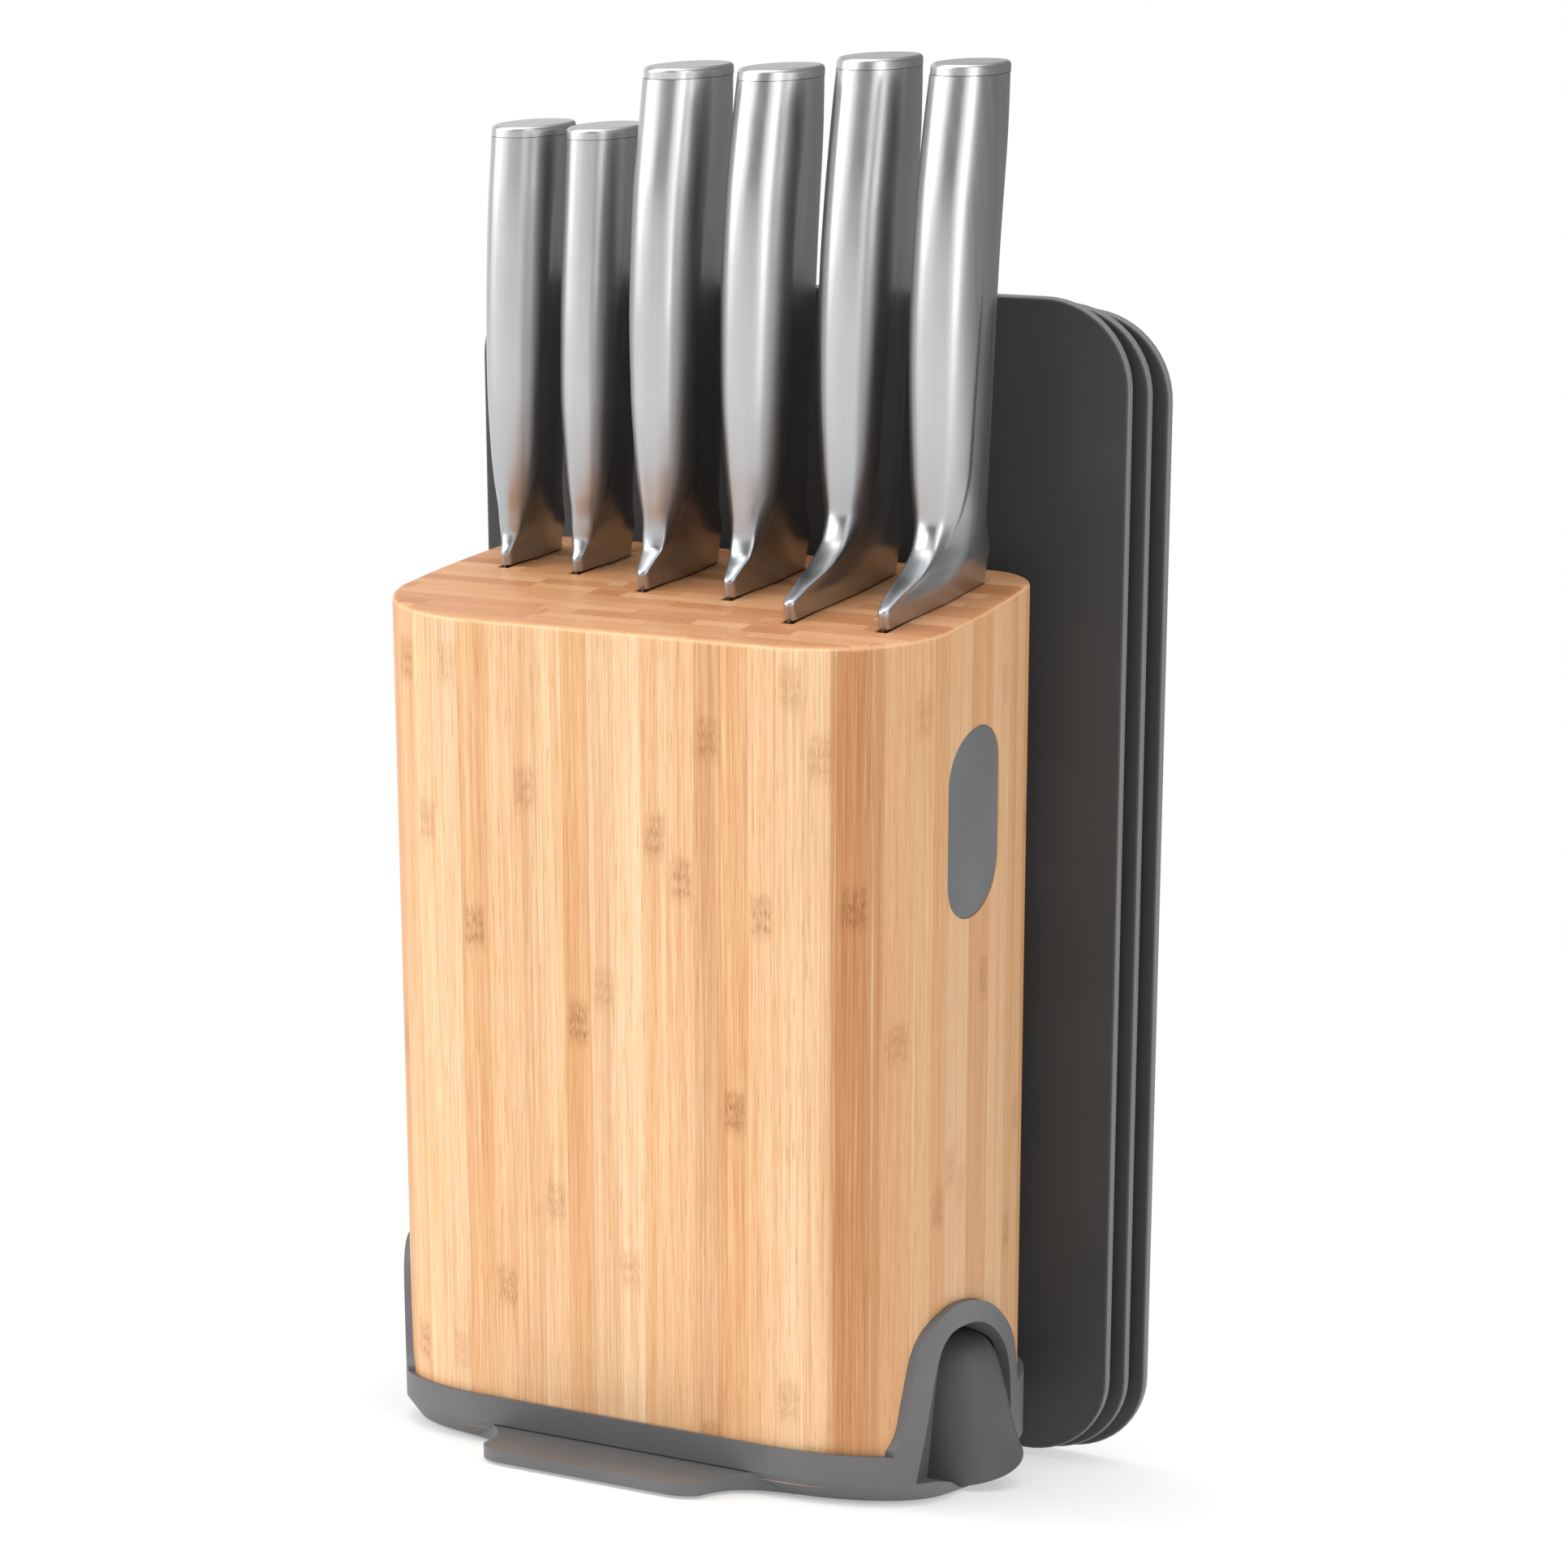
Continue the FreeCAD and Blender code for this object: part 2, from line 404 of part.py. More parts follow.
# tongues that key the rack to the tray's rear wall
for x in (-42.0, 42.0):
    rack = rack.fuse(box(x - 7, x + 7, BLOCK_DEPTH + 0.1, y_front0 + 0.5, -226.0, -216.0))
    parts["base_tray"] = one(parts["base_tray"].cut(box(x - 7.15, x + 7.15, BLOCK_DEPTH + 0.05, BLOCK_DEPTH + 4, -226.15, -215.85)))
parts["board_rack"] = one(clean(rack))

# ---------------------------------------------------------------- cutting boards
for i in range(3):
    y0 = BOARD_Y[i]
    zb = ramp(y0, RACK_FLOOR + 0.05)
    hw = BOARD_HALF[i]
    pl = box(-hw, hw, y0, y0 + BOARD_T, zb, zb + BOARD_H)
    pl = pl.makeFillet(BOARD_R, [e for e in pl.Edges if e.BoundBox.YLength > 3])
    rim = [e for e in pl.Edges if e.BoundBox.YLength < 1e-3]
    pl = pl.makeFillet(1.1, rim)
    parts["cutting_board_%d" % (i + 1)] = one(pl)

# ---------------------------------------------------------------- knives
def oval(z, yf, yb, a, nose):
    """Section of a handle: an oval whose front part may narrow to a thin nose."""
    n = 40
    pts = []
    yc, b = (yf + yb) / 2, (yb - yf) / 2
    for k in range(n):
        t = 2 * math.pi * k / n
        y = yc - b * math.cos(t)
        s = (y - yf) / (yb - yf)
        u = min(1.0, s / 0.62)
        w = nose + (1 - nose) * (u * u * (3 - 2 * u))
        sn = math.sin(t)
        x = a * w * math.copysign(abs(sn) ** 0.86, sn)
        pts.append(V(x, y, z))
    c = Part.BSplineCurve()
    c.interpolate(pts, True)
    return Part.Wire([c.toShape()])

def blade_solid(L, ys, yh_, t, kind):
    """Hollow-free taper-ground blade hanging from z = 0.5 to z = -L, edge to the front."""
    w0 = ys - yh_
    secs = []
    n = 40 if kind == "bread_knife" else 22
    zs = [0.5, -3.0] + [-3.0 - (L - 3.0) * k / n for k in range(1, n + 1)]
    for j, z in enumerate(zs):
        u = max(0.0, (-z - 3.0) / (L - 3.0))
        if kind == "bread_knife":
            e = yh_ + w0 * (0.42 * min(1, u * 7) ** 1.6 * 0.55 + 0.10 * u) + (0.9 if j % 2 and u < 0.93 else 0.0)
            if u > 0.86:
                e += (ys - 1.2 - e) * ((u - 0.86) / 0.14) ** 1.8
            s = ys
        elif kind == "santoku_knife":
            e = yh_ + w0 * 0.06 * u
            s = ys
            if u > 0.70:
                s = ys - (w0 * 0.80) * ((u - 0.70) / 0.30) ** 2.0
            if u > 0.9:
                e += 2.5 * ((u - 0.9) / 0.1) ** 2
            e = min(e, s - 1.0)
        elif kind == "chefs_knife":
            e = yh_ + w0 * (0.10 * u + 0.88 * max(0, (u - 0.18) / 0.82) ** 2.1)
            s = ys
            e = min(e, s - 0.9)
        elif kind == "carving_knife":
            e = yh_ + w0 * (0.34 * min(1, u * 9) ** 2 + 0.08 * u)
            if u > 0.62:
                e += (ys - 0.9 - e) * ((u - 0.62) / 0.38) ** 2.0
            s = ys
        else:
            e = yh_ + w0 * (0.22 * min(1, u * 8) ** 2 + 0.10 * u)
            if u > 0.45:
                e += (ys - 0.8 - e) * ((u - 0.45) / 0.55) ** 1.9
            s = ys
        width = s - e
        g = e + min(0.55 * width, 16.0)
        th = t / 2 * (1.0 - 0.35 * u)
        te = 0.16
        secs.append(Part.makePolygon([V(-te, e, z), V(te, e, z), V(th, g, z), V(th, s, z), V(-th, s, z), V(-th, g, z), V(-te, e, z)]))
    return Part.makeLoft(secs, True, True)

for name, idx, L, ys, yh_, t in KNIVES:
    x = SLOT_X[idx]
    secs = [oval(*q) for q in HANDLES[name]]
    body = Part.makeLoft(secs, True, False)
    z1 = HANDLES[name][-1][0]
    # rounded end
    last = HANDLES[name][-1]
    try:
        rim = [e for e in body.Edges if abs(e.BoundBox.ZMin - z1) < 1e-3 and abs(e.BoundBox.ZMax - z1) < 1e-3]
        bf = body.makeFillet(1.1, rim)
        if bf.isValid():
            body = bf
    except Exception as ex:
        print(name, "end fillet skipped", ex)
    cap = body.common(box(-20, 20, 0, 140, z1 - CAP_T, z1 + 5))
    grip = body.cut(box(-20, 20, 0, 140, z1 - CAP_T - 0.12, z1 + 5))
    yc = (HANDLES[name][6][1] + HANDLES[name][6][2]) / 2
    tang = box(-t / 2, t / 2, yc - 7.0, yc + 7.0, 0.4, z1 * 0.62)
    te = [e for e in tang.Edges if e.BoundBox.XLength > 1e-3 and e.BoundBox.ZMin > 10]
    tang = tang.makeFillet(4.0, te)
    room = box(-t / 2 - 0.05, t / 2 + 0.05, yc - 7.1, yc + 7.1, 0.0, z1 * 0.62 + 0.3)
    # stud that ties the cap to the grip
    yt = (last[1] + last[2]) / 2
    stud = Part.makeCylinder(3.2, 5.2, V(0, yt, z1 - CAP_T - 5.0), V(0, 0, 1))
    bore = Part.makeCylinder(3.25, 6.0, V(0, yt, z1 - CAP_T - 5.2), V(0, 0, 1))
    cap = cap.fuse(stud)
    grip = grip.cut(room).cut(bore)
    bl = blade_solid(L, ys, yh_, t, name).fuse(tang)
    for nn, s in (("blade", bl), ("handle", grip), ("end_cap", cap)):
        s = one(s)
        s.translate(V(x, 0, 0))
        parts[name + "_" + nn] = s

# ---------------------------------------------------------------- stand it up
pivot = V(0, RAMP_Y, RAMP_Z)
allb = None
for n, s in parts.items():
    s.rotate(pivot, V(1, 0, 0), LEAN)
    s.translate(V(0, 0, -RAMP_Z))
lo = [1e9] * 3; hi = [-1e9] * 3
for n, s in parts.items():
    b = s.optimalBoundingBox(False, False) if hasattr(s, "optimalBoundingBox") else s.BoundBox
    for i, (p, q) in enumerate(((b.XMin, b.XMax), (b.YMin, b.YMax), (b.ZMin, b.ZMax))):
        lo[i] = min(lo[i], p); hi[i] = max(hi[i], q)
# origin under the middle of the footprint box; fixed numbers keep it repeatable
SHIFT = V(0.0, -round((lo[1] + hi[1]) / 2, 3), 0.0)
print("box", [round(v, 2) for v in lo], [round(v, 2) for v in hi], "shift", SHIFT)
os.makedirs("parts", exist_ok=True)
for n, s in sorted(parts.items()):
    s.translate(SHIFT)
    ok = s.isValid()
    print("%-28s %-9s solids %d vol %9.1f %s" % (n, s.ShapeType, len(s.Solids), s.Volume, "" if ok else "INVALID"))
    s.exportStep("parts/%s.step" % n)
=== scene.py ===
import bpy, bmesh, math, json
from mathutils import Vector, Matrix, Euler


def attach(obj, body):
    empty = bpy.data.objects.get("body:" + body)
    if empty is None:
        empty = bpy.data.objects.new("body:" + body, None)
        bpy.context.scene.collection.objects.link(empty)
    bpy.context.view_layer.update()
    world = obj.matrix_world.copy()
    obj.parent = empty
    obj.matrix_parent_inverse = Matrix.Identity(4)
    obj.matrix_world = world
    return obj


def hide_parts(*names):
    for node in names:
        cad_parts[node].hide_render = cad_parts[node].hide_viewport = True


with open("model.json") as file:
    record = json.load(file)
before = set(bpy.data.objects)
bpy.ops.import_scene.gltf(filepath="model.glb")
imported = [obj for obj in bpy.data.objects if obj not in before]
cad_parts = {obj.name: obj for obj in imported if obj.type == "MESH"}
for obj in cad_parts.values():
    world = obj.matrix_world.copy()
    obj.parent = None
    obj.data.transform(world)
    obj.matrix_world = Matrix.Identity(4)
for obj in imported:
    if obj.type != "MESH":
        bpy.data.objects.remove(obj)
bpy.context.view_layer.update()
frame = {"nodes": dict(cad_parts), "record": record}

# ------------------------------------------------------------ block frame
LEAN = math.radians(16.5)
PY, PZ, SHY = 3.7, -213.9, -39.46     # ramp point and origin shift, mm
ROT = Matrix.Rotation(LEAN, 4, 'X')
# block frame in metres -> row frame in metres
TO_ROW = Matrix.Translation(Vector((0, (PY + SHY) / 1000, 0))) @ ROT @ Matrix.Translation(Vector((0, -PY / 1000, -PZ / 1000)))
TO_BLOCK = TO_ROW.inverted()

def P(x, y, z):
    """A point of the block's frame, in mm, as a row point in metres."""
    return TO_ROW @ Vector((x / 1000, y / 1000, z / 1000))

# ------------------------------------------------------------ node helpers
class Mat:
    def __init__(self, name):
        self.m = bpy.data.materials.new(name)
        self.m.use_nodes = True
        self.t = self.m.node_tree
        self.n, self.l = self.t.nodes, self.t.links
        for x in list(self.n):
            self.n.remove(x)
        self.out = self.n.new("ShaderNodeOutputMaterial")
        self.b = self.n.new("ShaderNodeBsdfPrincipled")
        self.l.new(self.b.outputs[0], self.out.inputs[0])

    def put(self, sock, v):
        if hasattr(v, "is_output"):
            self.l.new(v, sock)
        elif v is not None:
            sock.default_value = v

    def math(self, op, a, b=None, c=None, clamp=False):
        n = self.n.new("ShaderNodeMath"); n.operation = op; n.use_clamp = clamp
        self.put(n.inputs[0], a); self.put(n.inputs[1], b); self.put(n.inputs[2], c)
        return n.outputs[0]

    def vmath(self, op, a, b=None, scale=None):
        n = self.n.new("ShaderNodeVectorMath"); n.operation = op
        self.put(n.inputs[0], a); self.put(n.inputs[1], b)
        if scale is not None:
            self.put(n.inputs[3], scale)
        return n.outputs["Value"] if op in ("DOT_PRODUCT", "LENGTH") else n.outputs[0]

    def block_coords(self):
        """Object coordinates turned into the block's own frame, in mm."""
        tc = self.n.new("ShaderNodeTexCoord")
        mp = self.n.new("ShaderNodeMapping")
        mp.vector_type = 'POINT'
        rot = TO_BLOCK.to_euler('XYZ')
        mp.inputs["Rotation"].default_value = (rot.x, rot.y, rot.z)
        t = TO_BLOCK.to_translation() * 1000
        mp.inputs["Scale"].default_value = (1000, 1000, 1000)
        mp.inputs["Location"].default_value = (t.x, t.y, t.z)
        self.l.new(tc.outputs["Object"], mp.inputs["Vector"])
        return mp.outputs[0]

    def block_normal(self):
        g = self.n.new("ShaderNodeTexCoord")
        mp = self.n.new("ShaderNodeMapping")
        mp.vector_type = 'POINT'
        rot = TO_BLOCK.to_euler('XYZ')
        mp.inputs["Rotation"].default_value = (rot.x, rot.y, rot.z)
        self.l.new(g.outputs["Normal"], mp.inputs["Vector"])
        return mp.outputs[0]

    def sep(self, v):
        n = self.n.new("ShaderNodeSeparateXYZ"); self.l.new(v, n.inputs[0])
        return n.outputs[0], n.outputs[1], n.outputs[2]

    def comb(self, x, y, z):
        n = self.n.new("ShaderNodeCombineXYZ")
        self.put(n.inputs[0], x); self.put(n.inputs[1], y); self.put(n.inputs[2], z)
        return n.outputs[0]

    def noise(self, v, scale=1.0, detail=2.0, rough=0.5, dist=0.0, dims='3D', w=None):
        n = self.n.new("ShaderNodeTexNoise"); n.noise_dimensions = dims
        if v is not None and dims != '1D':
            self.l.new(v, n.inputs["Vector"])
        if w is not None:
            self.put(n.inputs["W"], w)
        n.inputs["Scale"].default_value = scale
        n.inputs["Detail"].default_value = detail
        n.inputs["Roughness"].default_value = rough
        n.inputs["Distortion"].default_value = dist
        return n.outputs[0]

    def rand(self, v):
        n = self.n.new("ShaderNodeTexWhiteNoise"); n.noise_dimensions = '3D'
        self.l.new(v, n.inputs["Vector"])
        return n.outputs[0]

    def ramp(self, f, stops, interp='LINEAR'):
        n = self.n.new("ShaderNodeValToRGB"); n.color_ramp.interpolation = interp
        e = n.color_ramp.elements
        while len(e) < len(stops):
            e.new(0.5)
        for i, (p, c) in enumerate(stops):
            e[i].position = p
            e[i].color = tuple(c) + (1,) if len(c) == 3 else c
        self.put(n.inputs[0], f)
        return n.outputs[0]

    def remap(self, v, a, b, c=0.0, d=1.0, smooth=False):
        n = self.n.new("ShaderNodeMapRange")
        if smooth:
            n.interpolation_type = 'SMOOTHSTEP'
        self.put(n.inputs[0], v)
        for i, x in enumerate((a, b, c, d)):
            n.inputs[1 + i].default_value = x
        return n.outputs[0]

    def mix(self, f, a, b, mode='MIX'):
        n = self.n.new("ShaderNodeMix"); n.data_type = 'RGBA'; n.blend_type = mode
        self.put(n.inputs[0], f)
        self.put(n.inputs[6], a if hasattr(a, "is_output") else (tuple(a) + (1,) if len(a) == 3 else a))
        self.put(n.inputs[7], b if hasattr(b, "is_output") else (tuple(b) + (1,) if len(b) == 3 else b))
        return n.outputs[2]

    def bump(self, h, strength, dist, normal=None):
        n = self.n.new("ShaderNodeBump")
        n.inputs["Strength"].default_value = strength
        n.inputs["Distance"].default_value = dist
        self.l.new(h, n.inputs["Height"])
        if normal is not None:
            self.l.new(normal, n.inputs["Normal"])
        return n.outputs[0]

    def set(self, **kw):
        for k, v in kw.items():
            self.put(self.b.inputs[k.replace("_", " ")], v)

def lin(r, g, b):
    f = lambda c: (c / 255 / 12.92) if c / 255 <= 0.04045 else ((c / 255 + 0.055) / 1.055) ** 2.4
    return (f(r), f(g), f(b))

# ------------------------------------------------------------ bamboo
def bamboo_material():
    M = Mat("bamboo_strips")
    co = M.block_coords()
    x, y, z = M.sep(co)
    nx, ny, nz = M.sep(M.block_normal())
    ax, ay = M.math('ABSOLUTE', nx), M.math('ABSOLUTE', ny)
    on_top = M.remap(nz, 0.55, 0.72)
    on_side = M.remap(M.math('SUBTRACT', ax, ay), -0.02, 0.02)
    sgn = M.math('SIGN', nx)
    # u runs across the strips: X on the front and back, Y on the cheeks
    u_side = M.math('ADD', M.math('MULTIPLY', y, sgn), M.math('MULTIPLY', sgn, 311.0))
    u = M.math('ADD', M.math('MULTIPLY', x, M.math('SUBTRACT', 1.0, on_side)), M.math('MULTIPLY', u_side, on_side))
    sgny = M.math('MULTIPLY', M.math('SIGN', ny), 57.0)
    u = M.math('ADD', u, M.math('MULTIPLY', sgny, M.math('SUBTRACT', 1.0, on_side)))
    # slight wander of the strip edges
    wob = M.math('MULTIPLY', M.math('SUBTRACT', M.noise(M.comb(M.math('MULTIPLY', u, 0.02), 0.0, M.math('MULTIPLY', z, 0.004)), 1.0, 1.0), 0.5), 1.0)
    uu = M.math('ADD', M.math('DIVIDE', M.math('ADD', u, wob), 6.9), 0.31)
    idx = M.math('FLOOR', uu)
    fr = M.math('FRACT', uu)
    r1 = M.rand(M.comb(idx, 3.1, 0.0))
    r2 = M.rand(M.comb(idx, 7.7, 2.0))
    r3 = M.rand(M.comb(idx, 1.3, 9.0))
    # long fibres
    f1 = M.noise(M.comb(M.math('MULTIPLY', u, 2.6), M.math('MULTIPLY', idx, 3.7), M.math('MULTIPLY', z, 0.020)), 1.0, 4.0, 0.62)
    f2 = M.noise(M.comb(M.math('MULTIPLY', u, 0.55), M.math('MULTIPLY', idx, 1.9), M.math('MULTIPLY', z, 0.006)), 1.0, 2.0, 0.5)
    f3 = M.noise(M.comb(M.math('MULTIPLY', u, 8.0), M.math('MULTIPLY', idx, 2.3), M.math('MULTIPLY', z, 0.07)), 1.0, 2.0, 0.6)
    fleck = M.remap(M.noise(M.comb(M.math('MULTIPLY', u, 3.6), M.math('MULTIPLY', idx, 5.1), M.math('MULTIPLY', z, 0.11)), 1.0, 1.0, 0.4), 0.60, 0.74)
    tone = M.math('ADD', M.math('MULTIPLY', r1, 0.40), M.math('MULTIPLY', f2, 0.50))
    tone = M.math('ADD', tone, M.math('MULTIPLY', M.math('SUBTRACT', f1, 0.5), 0.95))
    tone = M.math('ADD', tone, M.math('MULTIPLY', M.math('SUBTRACT', f3, 0.5), 0.60))
    base = M.ramp(tone, [(0.12, lin(244, 210, 170)), (0.36, lin(234, 190, 144)), (0.54, lin(224, 172, 122)),
                         (0.74, lin(208, 150, 98)), (0.95, lin(184, 124, 74))])
    base = M.mix(M.math('MULTIPLY', fleck, 0.50), base, lin(192, 130, 74))
    # a few strips are darker all over, mostly at the front right corner
    dark_strip = M.remap(r2, 0.86, 0.93)
    corner = M.math('MULTIPLY', M.remap(M.math('ABSOLUTE', M.math('SUBTRACT', x, 58.5)), 5.6, 4.6), M.remap(y, 40.0, 36.0))
    dark_amt = M.math('MAXIMUM', M.math('MULTIPLY', dark_strip, 0.42), M.math('MULTIPLY', corner, 0.85))
    streak = M.remap(f1, 0.35, 0.75)
    base = M.mix(M.math('MULTIPLY', dark_amt, M.math('ADD', 0.45, M.math('MULTIPLY', streak, 0.55))), base, lin(176, 112, 60))
    # culm nodes: short brown knuckles, one or two on each strip
    period = 178.0
    ph = M.math('DIVIDE', M.math('ADD', z, M.math('MULTIPLY', r3, 713.0)), period)
    wav = M.noise(M.comb(M.math('MULTIPLY', u, 0.5), idx, 0.0), 1.0, 1.0)
    dz = M.math('MULTIPLY', M.math('SUBTRACT', M.math('FRACT', ph), M.math('ADD', 0.48, M.math('MULTIPLY', wav, 0.02))), period)
    nod = M.math('MULTIPLY', M.remap(M.math('ABSOLUTE', dz), 7.5, 2.5, smooth=True), M.remap(M.math('ABSOLUTE', M.math('SUBTRACT', fr, 0.5)), 0.46, 0.30))
    nod_tex = M.noise(M.comb(M.math('MULTIPLY', u, 2.6), idx, M.math('MULTIPLY', dz, 0.42)), 1.0, 4.0, 0.72, 0.8)
    bands = M.math('ADD', M.math('MULTIPLY', M.math('SINE', M.math('MULTIPLY', dz, 1.7)), 0.25), 0.5)
    nod_k = M.math('MULTIPLY', nod, M.math('MULTIPLY', M.remap(nod_tex, 0.36, 0.60), M.math('ADD', 0.45, M.math('MULTIPLY', bands, 0.55))))
    nod_k = M.math('MULTIPLY', nod_k, M.math('ADD', 0.40, M.math('MULTIPLY', r1, 0.75)))
    base = M.mix(nod_k, base, lin(152, 92, 44))
    # drawn-out shading above and below a knuckle
    halo = M.math('MULTIPLY', M.remap(M.math('ABSOLUTE', dz), 26.0, 4.0, smooth=True), M.remap(M.noise(M.comb(M.math('MULTIPLY', u, 1.5), idx, M.math('MULTIPLY', z, 0.03)), 1.0, 2.0), 0.48, 0.72))
    base = M.mix(M.math('MULTIPLY', halo, 0.35), base, lin(203, 146, 88))
    # glue lines between strips
    edge = M.remap(M.math('ABSOLUTE', M.math('SUBTRACT', fr, 0.5)), 0.480, 0.499)
    base = M.mix(M.math('MULTIPLY', edge, 0.30), base, lin(188, 132, 80))
    # the cheeks are a shade deeper than the front
    base = M.mix(M.math('MULTIPLY', on_side, 0.42), base, lin(196, 142, 92))

    # end grain on the top: rows of strips seen from the end
    yrow = M.math('DIVIDE', M.math('ADD', y, 0.8), 5.6)
    colx = M.math('ADD', M.math('MULTIPLY', M.remap(x, -24.3, -24.2), 1.0), M.math('MULTIPLY', M.remap(x, 26.9, 27.0), 1.0))
    yrow = M.math('ADD', yrow, M.math('MULTIPLY', colx, 0.37))
    ri, rf = M.math('FLOOR', yrow), M.math('FRACT', yrow)
    bx = M.math('DIVIDE', M.math('ADD', x, M.math('MULTIPLY', M.rand(M.comb(ri, colx, 4.0)), 90.0)), 31.0)
    bi, bf = M.math('FLOOR', bx), M.math('FRACT', bx)
    q1 = M.rand(M.comb(ri, bi, M.math('ADD', colx, 0.5)))
    g1 = M.noise(M.comb(M.math('MULTIPLY', x, 0.16), M.math('MULTIPLY', y, 1.5), q1), 1.0, 3.0, 0.6)
    vor = M.n.new("ShaderNodeTexVoronoi"); vor.feature = 'F1'
    M.l.new(M.comb(M.math('MULTIPLY', x, 1.25), M.math('MULTIPLY', y, 1.55), 0.0), vor.inputs["Vector"])
    vor.inputs["Scale"].default_value = 1.0
    dots = M.remap(vor.outputs["Distance"], 0.36, 0.16)
    ttone = M.math('ADD', M.math('MULTIPLY', q1, 0.62), M.math('MULTIPLY', g1, 0.42))
    top = M.ramp(ttone, [(0.08, lin(216, 168, 124)), (0.40, lin(204, 150, 106)), (0.70, lin(190, 132, 88)), (1.0, lin(172, 110, 68))])
    top = M.mix(M.math('MULTIPLY', dots, 0.30), top, lin(140, 84, 48))
    seam_r = M.remap(M.math('ABSOLUTE', M.math('SUBTRACT', rf, 0.5)), 0.465, 0.495)
    seam_b = M.remap(M.math('ABSOLUTE', M.math('SUBTRACT', bf, 0.5)), 0.493, 0.499)
    top = M.mix(M.math('MULTIPLY', M.math('MAXIMUM', seam_r, seam_b), 0.42), top, lin(128, 74, 38))
    front_lip = M.remap(y, 6.5, 3.0)
    top = M.mix(M.math('MULTIPLY', front_lip, 0.28), top, lin(214, 164, 116))
    col = M.mix(on_top, base, top)
    # the rounded upper edge shows pale cut fibre
    lip = M.math('MULTIPLY', M.remap(nz, 0.12, 0.35), M.remap(nz, 0.85, 0.6))
    col = M.mix(M.math('MULTIPLY', lip, 0.45), col, lin(236, 190, 142))
    M.put(M.b.inputs["Base Color"], col)
    rough = M.math('ADD', 0.40, M.math('MULTIPLY', f1, 0.16))
    M.put(M.b.inputs["Roughness"], rough)
    M.b.inputs["Specular IOR Level"].default_value = 0.34
    M.b.inputs["Coat Weight"].default_value = 0.10
    M.b.inputs["Coat Roughness"].default_value = 0.32
    h = M.math('ADD', M.math('MULTIPLY', f3, 0.5), M.math('SUBTRACT', M.math('MULTIPLY', f1, 0.6), M.math('MULTIPLY', edge, 0.6)))
    h_top = M.math('SUBTRACT', M.math('MULTIPLY', g1, 0.4), M.math('ADD', M.math('MULTIPLY', dots, 0.5), M.math('MULTIPLY', seam_r, 0.6)))
    hh = M.math('ADD', M.math('MULTIPLY', h, M.math('SUBTRACT', 1.0, on_top)), M.math('MULTIPLY', h_top, on_top))
    M.put(M.b.inputs["Normal"], M.bump(hh, 0.35, 0.00012))
    return M.m

# ------------------------------------------------------------ plastics
def plastic(name, base, rough=0.42, grain=0.25, light=None, painted_edge_highlight=None):
    M = Mat(name)
    co = M.block_coords()
    n1 = M.noise(M.vmath('SCALE', co, scale=1.9), 1.0, 3.0, 0.6)
    n2 = M.noise(M.vmath('SCALE', co, scale=0.03), 1.0, 2.0, 0.5)
    n3 = M.noise(M.vmath('SCALE', co, scale=0.5), 1.0, 2.0, 0.5)
    c0 = lin(*base)
    c1 = tuple(v * 1.16 for v in c0)
    c2 = tuple(v * 0.90 for v in c0)
    t = M.math('ADD', M.math('MULTIPLY', n2, 0.7), M.math('MULTIPLY', n1, 0.3))
    col = M.ramp(t, [(0.30, c2), (0.5, c0), (0.72, c1)])
    if painted_edge_highlight is not None:
        # painted highlight: the rounded edges of a thin sheet are painted a lighter grey, as if catching side light
        nx, ny, nz = M.sep(M.block_normal())
        k = M.remap(M.math('ABSOLUTE', ny), 0.93, 0.62)
        col = M.mix(M.math('MULTIPLY', k, 0.85), col, lin(*painted_edge_highlight))
    M.put(M.b.inputs["Base Color"], col)
    M.put(M.b.inputs["Roughness"], M.math('ADD', rough, M.math('MULTIPLY', M.math('SUBTRACT', n3, 0.5), 0.12)))
    M.b.inputs["Specular IOR Level"].default_value = 0.45
    M.put(M.b.inputs["Normal"], M.bump(n1, grain, 0.00006))
    return M.m

# ------------------------------------------------------------ steels
def steel(name, col, rough, lines=(9.0, 9.0, 0.06), aniso=0.5, depth=0.12, painted_foot_shade=False):
    M = Mat(name)
    co = M.block_coords()
    x, y, z = M.sep(co)
    v = M.comb(M.math('MULTIPLY', x, lines[0]), M.math('MULTIPLY', y, lines[1]), M.math('MULTIPLY', z, lines[2]))
    n1 = M.noise(v, 1.0, 3.0, 0.6)
    v2 = M.comb(M.math('MULTIPLY', x, lines[0] * 0.3), M.math('MULTIPLY', y, lines[1] * 0.3), M.math('MULTIPLY', z, lines[2] * 0.4))
    n2 = M.noise(v2, 1.0, 2.0, 0.5)
    n3 = M.noise(M.vmath('SCALE', co, scale=0.05), 1.0, 2.0, 0.5)
    c = tuple(col)
    cc = M.ramp(M.math('ADD', M.math('MULTIPLY', n1, 0.5), M.math('MULTIPLY', n3, 0.5)),
                [(0.25, tuple(k * 0.94 for k in c)), (0.5, c), (0.78, tuple(min(1, k * 1.05) for k in c))])
    if painted_foot_shade:
        # painted shade: the grip's steel is painted darker and a little cooler towards its foot, near the block top
        low = M.math('MULTIPLY', M.remap(z, 50.0, 6.0, smooth=True), 0.8)
        cc = M.mix(low, cc, (c[0] * 0.74, c[1] * 0.77, c[2] * 0.79))
    M.put(M.b.inputs["Base Color"], cc)
    M.b.inputs["Metallic"].default_value = 1.0
    M.put(M.b.inputs["Roughness"], M.math('ADD', rough, M.math('MULTIPLY', M.math('SUBTRACT', n2, 0.5), 0.16)))
    M.put(M.b.inputs["Normal"], M.bump(n1, depth, 0.00005))
    return M.m

